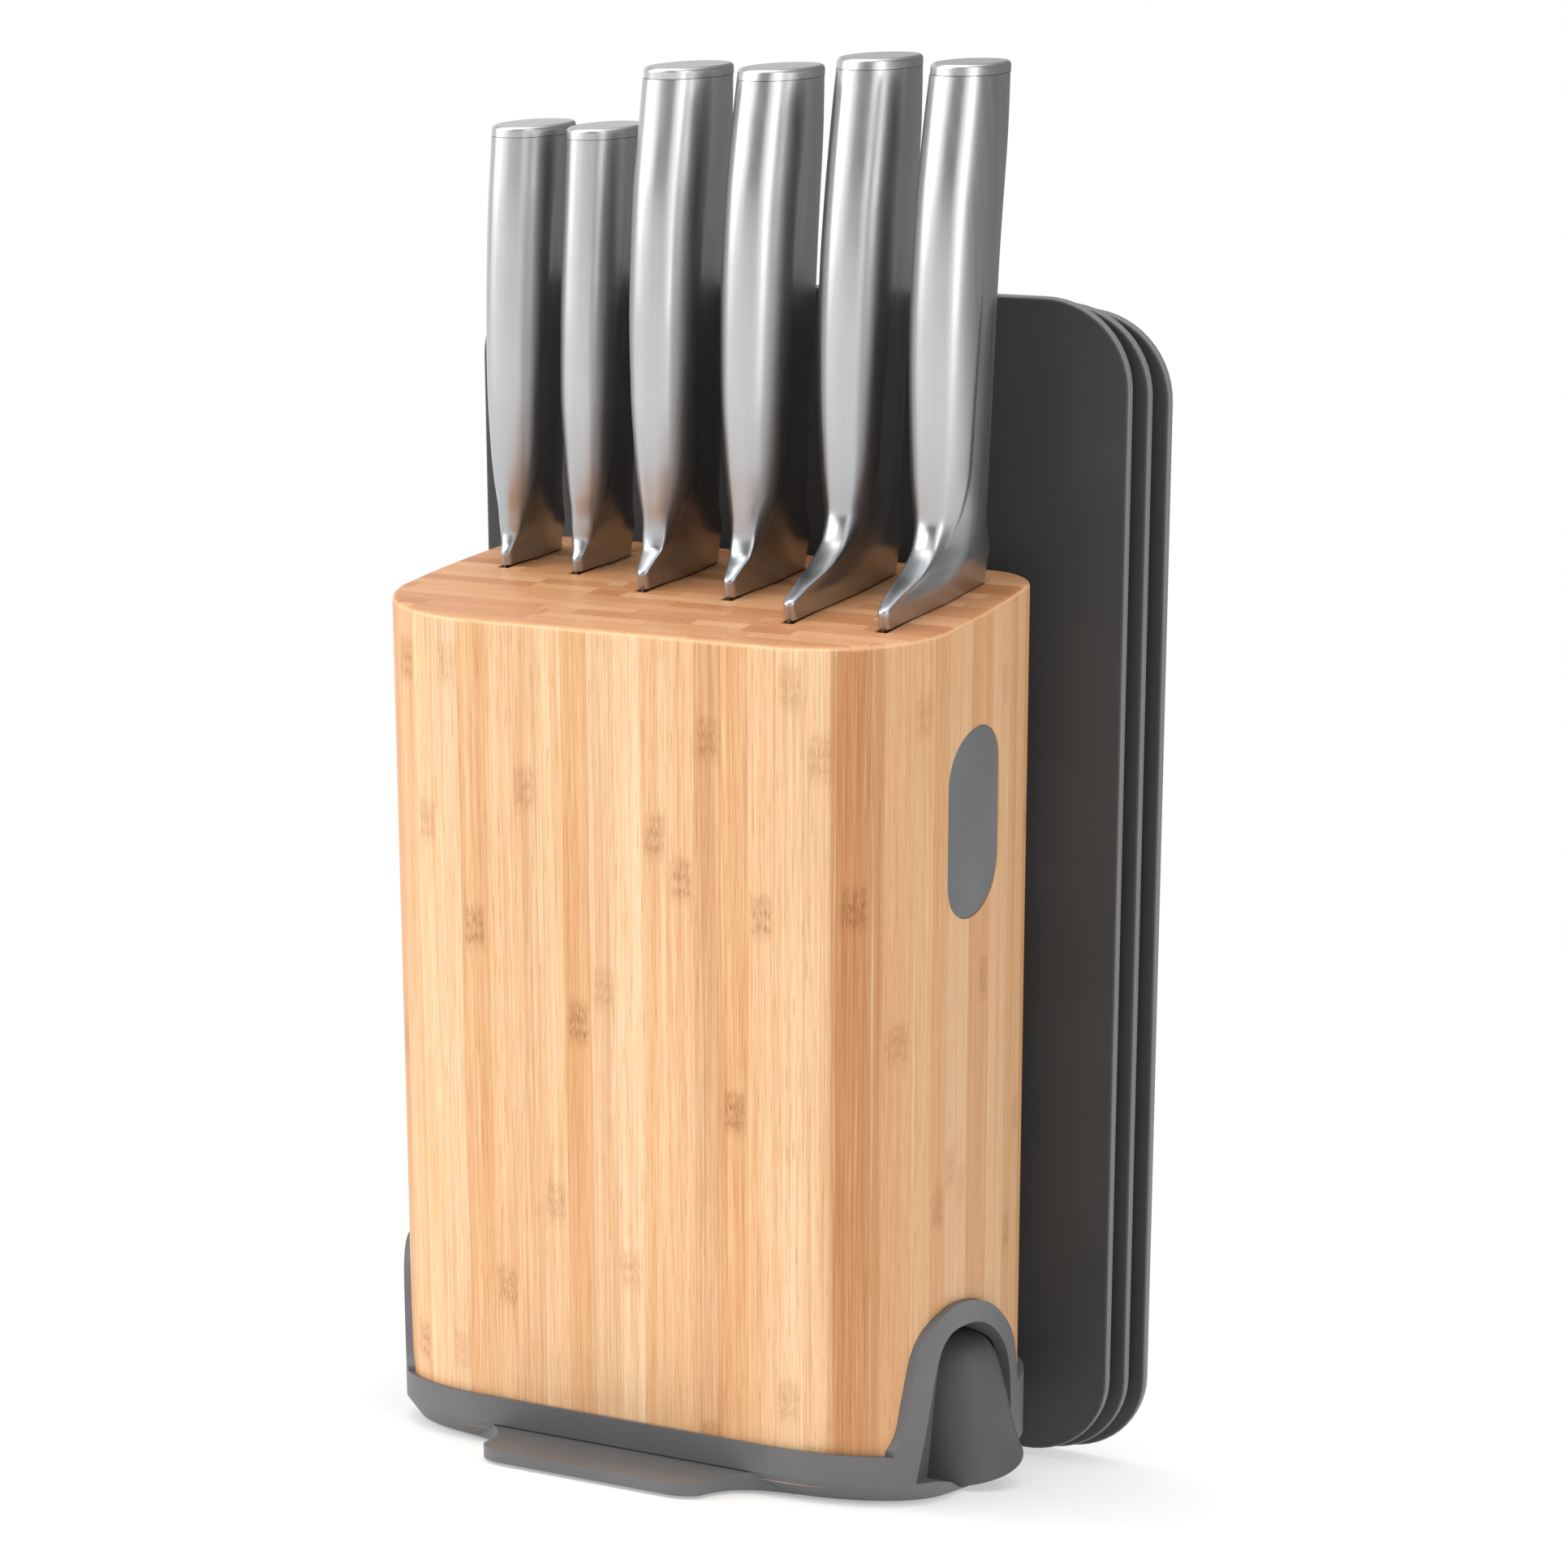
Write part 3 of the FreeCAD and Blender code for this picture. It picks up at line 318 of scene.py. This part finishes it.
MATS = {
    "bamboo": bamboo_material(),
    "base_plastic": plastic("moulded_base_grey", (100, 100, 101), 0.50, 0.12),
    "leg_plastic": plastic("moulded_leg_grey", (82, 82, 82), 0.52, 0.10),
    "badge_plastic": plastic("badge_grey", (104, 105, 107), 0.56, 0.12),
    "board_plastic": plastic("board_charcoal", (58, 60, 62), 0.55, 0.14, painted_edge_highlight=(128, 128, 129)),
    "pad_rubber": plastic("pad_rubber", (34, 34, 34), 0.75, 0.5),
    "handle_steel": steel("brushed_handle_steel", (0.56, 0.56, 0.565), 0.31, lines=(1.1, 1.1, 0.03), depth=0.004, painted_foot_shade=True),
    "cap_steel": steel("brushed_cap_steel", (0.60, 0.60, 0.605), 0.32, lines=(2.0, 0.3, 2.0), depth=0.03),
    "blade_steel": steel("ground_blade_steel", (0.70, 0.70, 0.71), 0.22, lines=(2.0, 0.06, 2.6), depth=0.04),
    "screw_steel": steel("plated_screw_steel", (0.62, 0.62, 0.60), 0.34, lines=(3.0, 3.0, 3.0), depth=0.06),
}
slot_of = {s["node"]: s["material_slot"] for s in frame["record"]["subparts"]}
for name, ob in frame["nodes"].items():
    ob.data.materials.clear()
    ob.data.materials.append(MATS[slot_of[name]])

# ------------------------------------------------------------ knife handles
SLOT_X = {"paring_knife": -58.1, "utility_knife": -37.7, "carving_knife": -13.0, "bread_knife": 10.7, "santoku_knife": 34.4, "chefs_knife": 58.6}
HANDLES = {
    "paring_knife": ((0.5, 58.4, 87.2, 3.6, 0.42), (3.4, 58.2, 87.0, 3.9, 0.40), (6.0, 59.6, 87.0, 4.4, 0.46),
                     (9.0, 60.4, 87.0, 5.2, 0.62), (13.0, 60.3, 87.1, 6.1, 0.80), (20.0, 59.6, 87.2, 6.9, 0.95),
                     (30.0, 58.8, 87.6, 7.5, 1), (44.0, 58.2, 88.8, 8.1, 1), (60.0, 58.6, 90.4, 8.5, 1),
                     (76.0, 59.6, 91.8, 8.6, 1), (92.0, 61.2, 93.6, 8.6, 1), (104.0, 63.0, 95.0, 8.5, 1), (110.6, 64.0, 95.8, 8.5, 1)),
    "utility_knife": ((0.5, 57.8, 86.4, 3.6, 0.42), (3.4, 57.6, 86.2, 3.9, 0.40), (6.0, 59.2, 86.2, 4.4, 0.46),
                      (9.0, 60.2, 86.2, 5.2, 0.62), (13.0, 60.2, 86.3, 6.1, 0.80), (20.0, 59.6, 86.6, 6.9, 0.95),
                      (30.0, 59.0, 87.2, 7.3, 1), (44.0, 58.4, 88.4, 7.9, 1), (60.0, 59.0, 90.0, 8.1, 1),
                      (76.0, 60.4, 91.6, 8.2, 1), (92.0, 62.2, 93.2, 8.2, 1), (104.0, 63.6, 94.4, 8.1, 1), (110.6, 64.4, 95.0, 8.1, 1)),
    "carving_knife": ((0.5, 44.2, 85.8, 3.6, 0.42), (4.4, 43.4, 85.6, 4.1, 0.38), (7.0, 46.2, 85.6, 4.7, 0.44),
                      (10.0, 49.6, 85.4, 5.5, 0.58), (15.0, 50.4, 85.4, 6.5, 0.78), (22.0, 49.8, 85.6, 7.7, .95),
                      (32.0, 48.6, 85.8, 8.2, 1), (48.0, 47.4, 86.6, 8.9, 1), (64.0, 47.4, 87.8, 9.3, 1),
                      (80.0, 48.6, 89.2, 9.4, 1), (96.0, 50.6, 90.4, 9.4, 1), (112.0, 54.2, 91.8, 9.2, 1), (126.4, 57.4, 92.6, 8.9, 1)),
    "bread_knife": ((0.5, 43.0, 87.0, 3.6, 0.42), (4.4, 42.4, 86.8, 4.1, 0.38), (7.0, 45.4, 86.8, 4.7, 0.44),
                    (10.0, 49.4, 86.6, 5.5, 0.58), (15.0, 50.8, 86.6, 6.5, 0.78), (22.0, 50.6, 86.6, 7.6, .95),
                    (32.0, 49.8, 86.8, 8.2, 1), (48.0, 48.6, 87.8, 8.9, 1), (64.0, 49.0, 89.2, 9.3, 1),
                    (80.0, 50.2, 90.6, 9.5, 1), (96.0, 52.4, 92.2, 9.4, 1), (112.0, 56.2, 93.8, 9.1, 1), (126.4, 60.4, 94.6, 8.7, 1)),
    "santoku_knife": ((0.5, 24.2, 89.6, 3.6, 0.42), (4.6, 23.4, 89.4, 4.2, 0.36), (7.2, 30.5, 89.4, 4.7, 0.42),
                      (10.0, 42.5, 89.2, 5.5, 0.58), (15.0, 51.6, 89.2, 6.5, 0.78), (22.0, 54.8, 89.4, 7.6, .92),
                      (32.0, 54.6, 89.6, 8.3, 1), (48.0, 54.0, 90.6, 9.1, 1), (64.0, 54.6, 92.4, 9.6, 1),
                      (80.0, 56.2, 94.4, 9.8, 1), (96.0, 58.8, 96.6, 9.7, 1), (112.0, 62.4, 98.2, 9.5, 1), (129.2, 66.6, 99.4, 9.0, 1)),
    "chefs_knife": ((0.5, 23.4, 87.8, 3.6, 0.42), (4.6, 22.6, 87.6, 4.2, 0.36), (7.2, 29.0, 87.4, 4.7, 0.42),
                    (10.0, 40.5, 87.2, 5.5, 0.58), (15.0, 49.6, 86.8, 6.5, 0.78), (22.0, 52.6, 86.6, 7.5, .92),
                    (32.0, 52.6, 86.4, 8.1, 1), (48.0, 52.4, 86.8, 8.8, 1), (64.0, 52.8, 87.8, 9.2, 1),
                    (80.0, 54.2, 89.6, 9.3, 1), (96.0, 56.6, 91.8, 9.2, 1), (112.0, 60.6, 93.8, 9.0, 1), (128.4, 65.4, 95.6, 8.5, 1)),
}
CAP_T = 2.6

def hermite(xs, ys, x):
    """Smooth curve through the table, with no overshoot."""
    n = len(xs)
    if x <= xs[0]:
        return ys[0]
    if x >= xs[-1]:
        return ys[-1]
    i = max(j for j in range(n - 1) if xs[j] <= x)
    d = [(ys[j + 1] - ys[j]) / (xs[j + 1] - xs[j]) for j in range(n - 1)]
    def slope(j):
        if j == 0:
            return d[0]
        if j == n - 1:
            return d[-1]
        if d[j - 1] * d[j] <= 0:
            return 0.0
        w1 = 2 * (xs[j + 1] - xs[j]) + (xs[j] - xs[j - 1])
        w2 = (xs[j + 1] - xs[j]) + 2 * (xs[j] - xs[j - 1])
        return (w1 + w2) / (w1 / d[j - 1] + w2 / d[j])
    h = xs[i + 1] - xs[i]
    t = (x - xs[i]) / h
    m0, m1 = slope(i), slope(i + 1)
    return (2 * t ** 3 - 3 * t ** 2 + 1) * ys[i] + (t ** 3 - 2 * t ** 2 + t) * h * m0 + (-2 * t ** 3 + 3 * t ** 2) * ys[i + 1] + (t ** 3 - t ** 2) * h * m1

def smooth01(v):
    v = max(0.0, min(1.0, v))
    return v * v * (3 - 2 * v)

def section(z, yf, yb, a, nose, crease, step):
    """Outline of the grip at one height: rounded ribbon in front, a soft crease, then flat sides that close on a rounded spine."""
    n = 120
    pts = []
    yc, b = (yf + yb) / 2, (yb - yf) / 2
    k_oval = smooth01((nose - 0.45) / 0.5)
    rn = 1.9                                  # radius of the blunt nose
    rb = 3.4                                  # and of the spine, low down
    for k in range(n):
        t = 2 * math.pi * k / n
        t = t - 0.16 * math.sin(2 * t) * (1 - k_oval)
        y = yc - b * math.cos(t)
        d, e = y - yf, yb - y
        s = d / (yb - yf)
        u = min(1.0, s / 0.62)
        w = nose + (1 - nose) * smooth01(u)
        sn = math.sin(t)
        oval = abs(sn) ** 0.86
        blunt = 1.0
        if d < rn:
            blunt = math.sqrt(max(0.0, 1 - (1 - d / rn) ** 2))
        if e < rb:
            blunt = min(blunt, math.sqrt(max(0.0, 1 - (1 - e / rb) ** 2)))
        x = a * w * (oval * k_oval + blunt * (1 - k_oval))
        # the sides step in a little behind the crease line
        g = 1 / (1 + math.exp(-max(-40, min(40, (s - crease) / 0.010))))
        x *= 1.0 - step * g
        pts.append((math.copysign(x, sn) if abs(sn) > 1e-9 else 0.0, y))
    return pts

def handle_mesh(name):
    tab = HANDLES[name]
    zs = [r[0] for r in tab]
    cols = [[r[i] for r in tab] for i in (1, 2, 3, 4)]
    z0, z1 = zs[0], zs[-1] - CAP_T - 0.12
    levels = []
    z = z0
    while z < z1 - 0.5:
        levels.append(z)
        z += 0.5 if z < 20 else (1.1 if z < 40 else 2.2)
    levels.append(z1)
    bm = bmesh.new()
    rings = []
    for z in levels:
        yf, yb, a, nose = (hermite(zs, c, z) for c in cols)
        top = zs[-1]
        crease = 0.10 + 0.20 * smooth01((z - 4) / 30) + 0.10 * smooth01((z - 20) / (top - 30))
        step = 0.075 * smooth01((z - 6) / 16) * (1 - 0.85 * smooth01((z - 0.62 * top) / (0.28 * top)))
        pts = section(z, yf, yb, a, nose, crease, step)
        rings.append([bm.verts.new(P(SLOT_X[name] + x, y, z)) for x, y in pts])
    n = len(rings[0])
    for r0, r1 in zip(rings[:-1], rings[1:]):
        for k in range(n):
            bm.faces.new((r0[k], r0[(k + 1) % n], r1[(k + 1) % n], r1[k]))
    def inner(ring, f):
        c = sum((v.co for v in ring), Vector()) / len(ring)
        return [bm.verts.new(c + (v.co - c) * f) for v in ring]
    for ring, flip in ((rings[0], True), (rings[-1], False)):
        prev = ring
        for f in (0.97, 0.6, 0.25):
            cur = inner(ring, f)
            for k in range(n):
                q = (prev[k], prev[(k + 1) % n], cur[(k + 1) % n], cur[k])
                bm.faces.new(q[::-1] if flip else q)
            prev = cur
        bm.faces.new(prev[::-1] if flip else prev)
    bmesh.ops.recalc_face_normals(bm, faces=bm.faces)
    me = bpy.data.meshes.new(name + "_grip")
    bm.to_mesh(me); bm.free()
    ob = bpy.data.objects.new(name + "_grip", me)
    bpy.context.scene.collection.objects.link(ob)
    for p in me.polygons:
        p.use_smooth = True
    me.materials.append(MATS["handle_steel"])
    es = me.edges
    return ob

for kn in SLOT_X:
    g = handle_mesh(kn)
    ob = g
    mod = ob.modifiers.new("edges", 'EDGE_SPLIT') if False else None
    try:
        me = ob.data
        me.set_sharp_from_angle(angle=math.radians(40))
    except Exception:
        pass
    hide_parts(kn + "_handle")
    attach(g, kn)

# ------------------------------------------------------------ floor
def floor():
    bm = bmesh.new()
    n, r = 96, 9.0
    c = bm.verts.new((0, 0, -0.0004))
    ring0 = None
    for rad in (0.5, 1.5, 4.0, r):
        ring = [bm.verts.new((rad * math.cos(2 * math.pi * k / n), rad * math.sin(2 * math.pi * k / n), -0.0004)) for k in range(n)]
        for k in range(n):
            if ring0 is None:
                bm.faces.new((c, ring[k], ring[(k + 1) % n]))
            else:
                bm.faces.new((ring0[k], ring[k], ring[(k + 1) % n], ring0[(k + 1) % n]))
        ring0 = ring
    me = bpy.data.meshes.new("studio_floor")
    bm.to_mesh(me); bm.free()
    ob = bpy.data.objects.new("studio_floor", me)
    bpy.context.scene.collection.objects.link(ob)
    m = bpy.data.materials.new("pale_floor"); m.use_nodes = True
    t = m.node_tree
    b = t.nodes["Principled BSDF"]
    b.inputs["Base Color"].default_value = (0.95, 0.95, 0.95, 1)
    b.inputs["Roughness"].default_value = 0.95
    b.inputs["Specular IOR Level"].default_value = 0.0
    em = t.nodes.new("ShaderNodeEmission"); em.inputs[0].default_value = (1, 1, 1, 1); em.inputs[1].default_value = 1.05
    mxs = t.nodes.new("ShaderNodeMixShader")
    tcf = t.nodes.new("ShaderNodeTexCoord")
    ln = t.nodes.new("ShaderNodeVectorMath"); ln.operation = 'LENGTH'
    t.links.new(tcf.outputs["Object"], ln.inputs[0])
    mr = t.nodes.new("ShaderNodeMapRange"); mr.interpolation_type = 'SMOOTHSTEP'
    t.links.new(ln.outputs["Value"], mr.inputs[0])
    mr.inputs[1].default_value = -0.10; mr.inputs[2].default_value = 0.30
    t.links.new(mr.outputs[0], mxs.inputs[0])
    t.links.new(b.outputs[0], mxs.inputs[1]); t.links.new(em.outputs[0], mxs.inputs[2])
    o_ = [n for n in t.nodes if n.type == 'OUTPUT_MATERIAL'][0]
    t.links.new(mxs.outputs[0], o_.inputs[0])
    me.materials.append(m)
floor()

# ------------------------------------------------------------ light
sc = bpy.context.scene
w = bpy.data.worlds.new("studio"); sc.world = w
w.use_nodes = True
nt = w.node_tree
for x in list(nt.nodes):
    nt.nodes.remove(x)
out = nt.nodes.new("ShaderNodeOutputWorld")
bg_cam = nt.nodes.new("ShaderNodeBackground"); bg_cam.inputs[0].default_value = (1, 1, 1, 1); bg_cam.inputs[1].default_value = 1.0
bg_l = nt.nodes.new("ShaderNodeBackground"); bg_l.inputs[1].default_value = 1.0
lp = nt.nodes.new("ShaderNodeLightPath")
mx = nt.nodes.new("ShaderNodeMixShader")
nt.links.new(lp.outputs["Is Camera Ray"], mx.inputs[0])
nt.links.new(bg_l.outputs[0], mx.inputs[1]); nt.links.new(bg_cam.outputs[0], mx.inputs[2])
nt.links.new(mx.outputs[0], out.inputs[0])
tc = nt.nodes.new("ShaderNodeTexCoord")
def wmath(op, a, b=None, clamp=False):
    n = nt.nodes.new("ShaderNodeMath"); n.operation = op; n.use_clamp = clamp
    for i, v in enumerate((a, b)):
        if v is None:
            continue
        if hasattr(v, "is_output"):
            nt.links.new(v, n.inputs[i])
        else:
            n.inputs[i].default_value = v
    return n.outputs[0]
def lobe(direction, lo, hi, gain):
    d = nt.nodes.new("ShaderNodeVectorMath"); d.operation = 'DOT_PRODUCT'
    nt.links.new(tc.outputs["Generated"], d.inputs[0])
    d.inputs[1].default_value = Vector(direction).normalized()
    m = nt.nodes.new("ShaderNodeMapRange"); m.interpolation_type = 'SMOOTHSTEP'
    nt.links.new(d.outputs["Value"], m.inputs[0])
    m.inputs[1].default_value = lo; m.inputs[2].default_value = hi
    m.inputs[3].default_value = 0.0; m.inputs[4].default_value = gain
    return m.outputs[0]
total = lobe((-0.80, -0.58, 0.12), 0.70, 0.93, 1.9)
total = wmath('ADD', total, lobe((0.97, -0.22, 0.25), 0.88, 0.97, 1.3))
total = wmath('ADD', total, lobe((0.0, -0.25, 1.0), 0.55, 0.85, 1.25))
total = wmath('ADD', total, lobe((-0.75, 0.65, 0.2), 0.80, 0.95, 0.7))
total = wmath('ADD', total, 0.22)
nt.links.new(total, bg_l.inputs[1])
bg_l.inputs[0].default_value = (1, 1, 1, 1)

def area(name, loc, target, size, power, sy=None):
    d = bpy.data.lights.new(name, 'AREA')
    d.shape = 'RECTANGLE'; d.size = size; d.size_y = sy or size; d.energy = power
    o = bpy.data.objects.new(name, d)
    o.location = loc
    o.rotation_euler = (Vector(target) - Vector(loc)).to_track_quat('-Z', 'Y').to_euler()
    sc.collection.objects.link(o)
area("key_left", (-1.6, -1.15, 0.9), (0, 0, 0.2), 0.7, 9, 1.3)
area("top_soft", (0.0, -0.5, 1.9), (0, 0.02, 0.15), 1.2, 7)
area("front_fill", (-0.5, -2.0, 1.4), (0, 0, 0.10), 1.0, 6, 0.8)
area("side_strip", (1.9, -0.25, 0.6), (0.05, 0.03, 0.2), 0.35, 3.4, 1.3)

# ------------------------------------------------------------ camera
cam_d = bpy.data.cameras.new("camera")
cam = bpy.data.objects.new("camera", cam_d)
sc.collection.objects.link(cam)
cam_d.sensor_fit = 'HORIZONTAL'; cam_d.sensor_width = 36.0
cam.location = (0.35122, -0.86287, 0.16691)
cam.rotation_euler = Euler((1.592400, -0.108715, 0.381649), 'XYZ')
cam_d.lens = 82.2089
cam_d.shift_x = 0.0067
cam_d.shift_y = -0.0340
cam_d.clip_start = 0.01; cam_d.clip_end = 60
sc.camera = cam
sc.view_settings.view_transform = 'Standard'
sc.view_settings.look = 'None'
sc.view_settings.exposure = 0.0

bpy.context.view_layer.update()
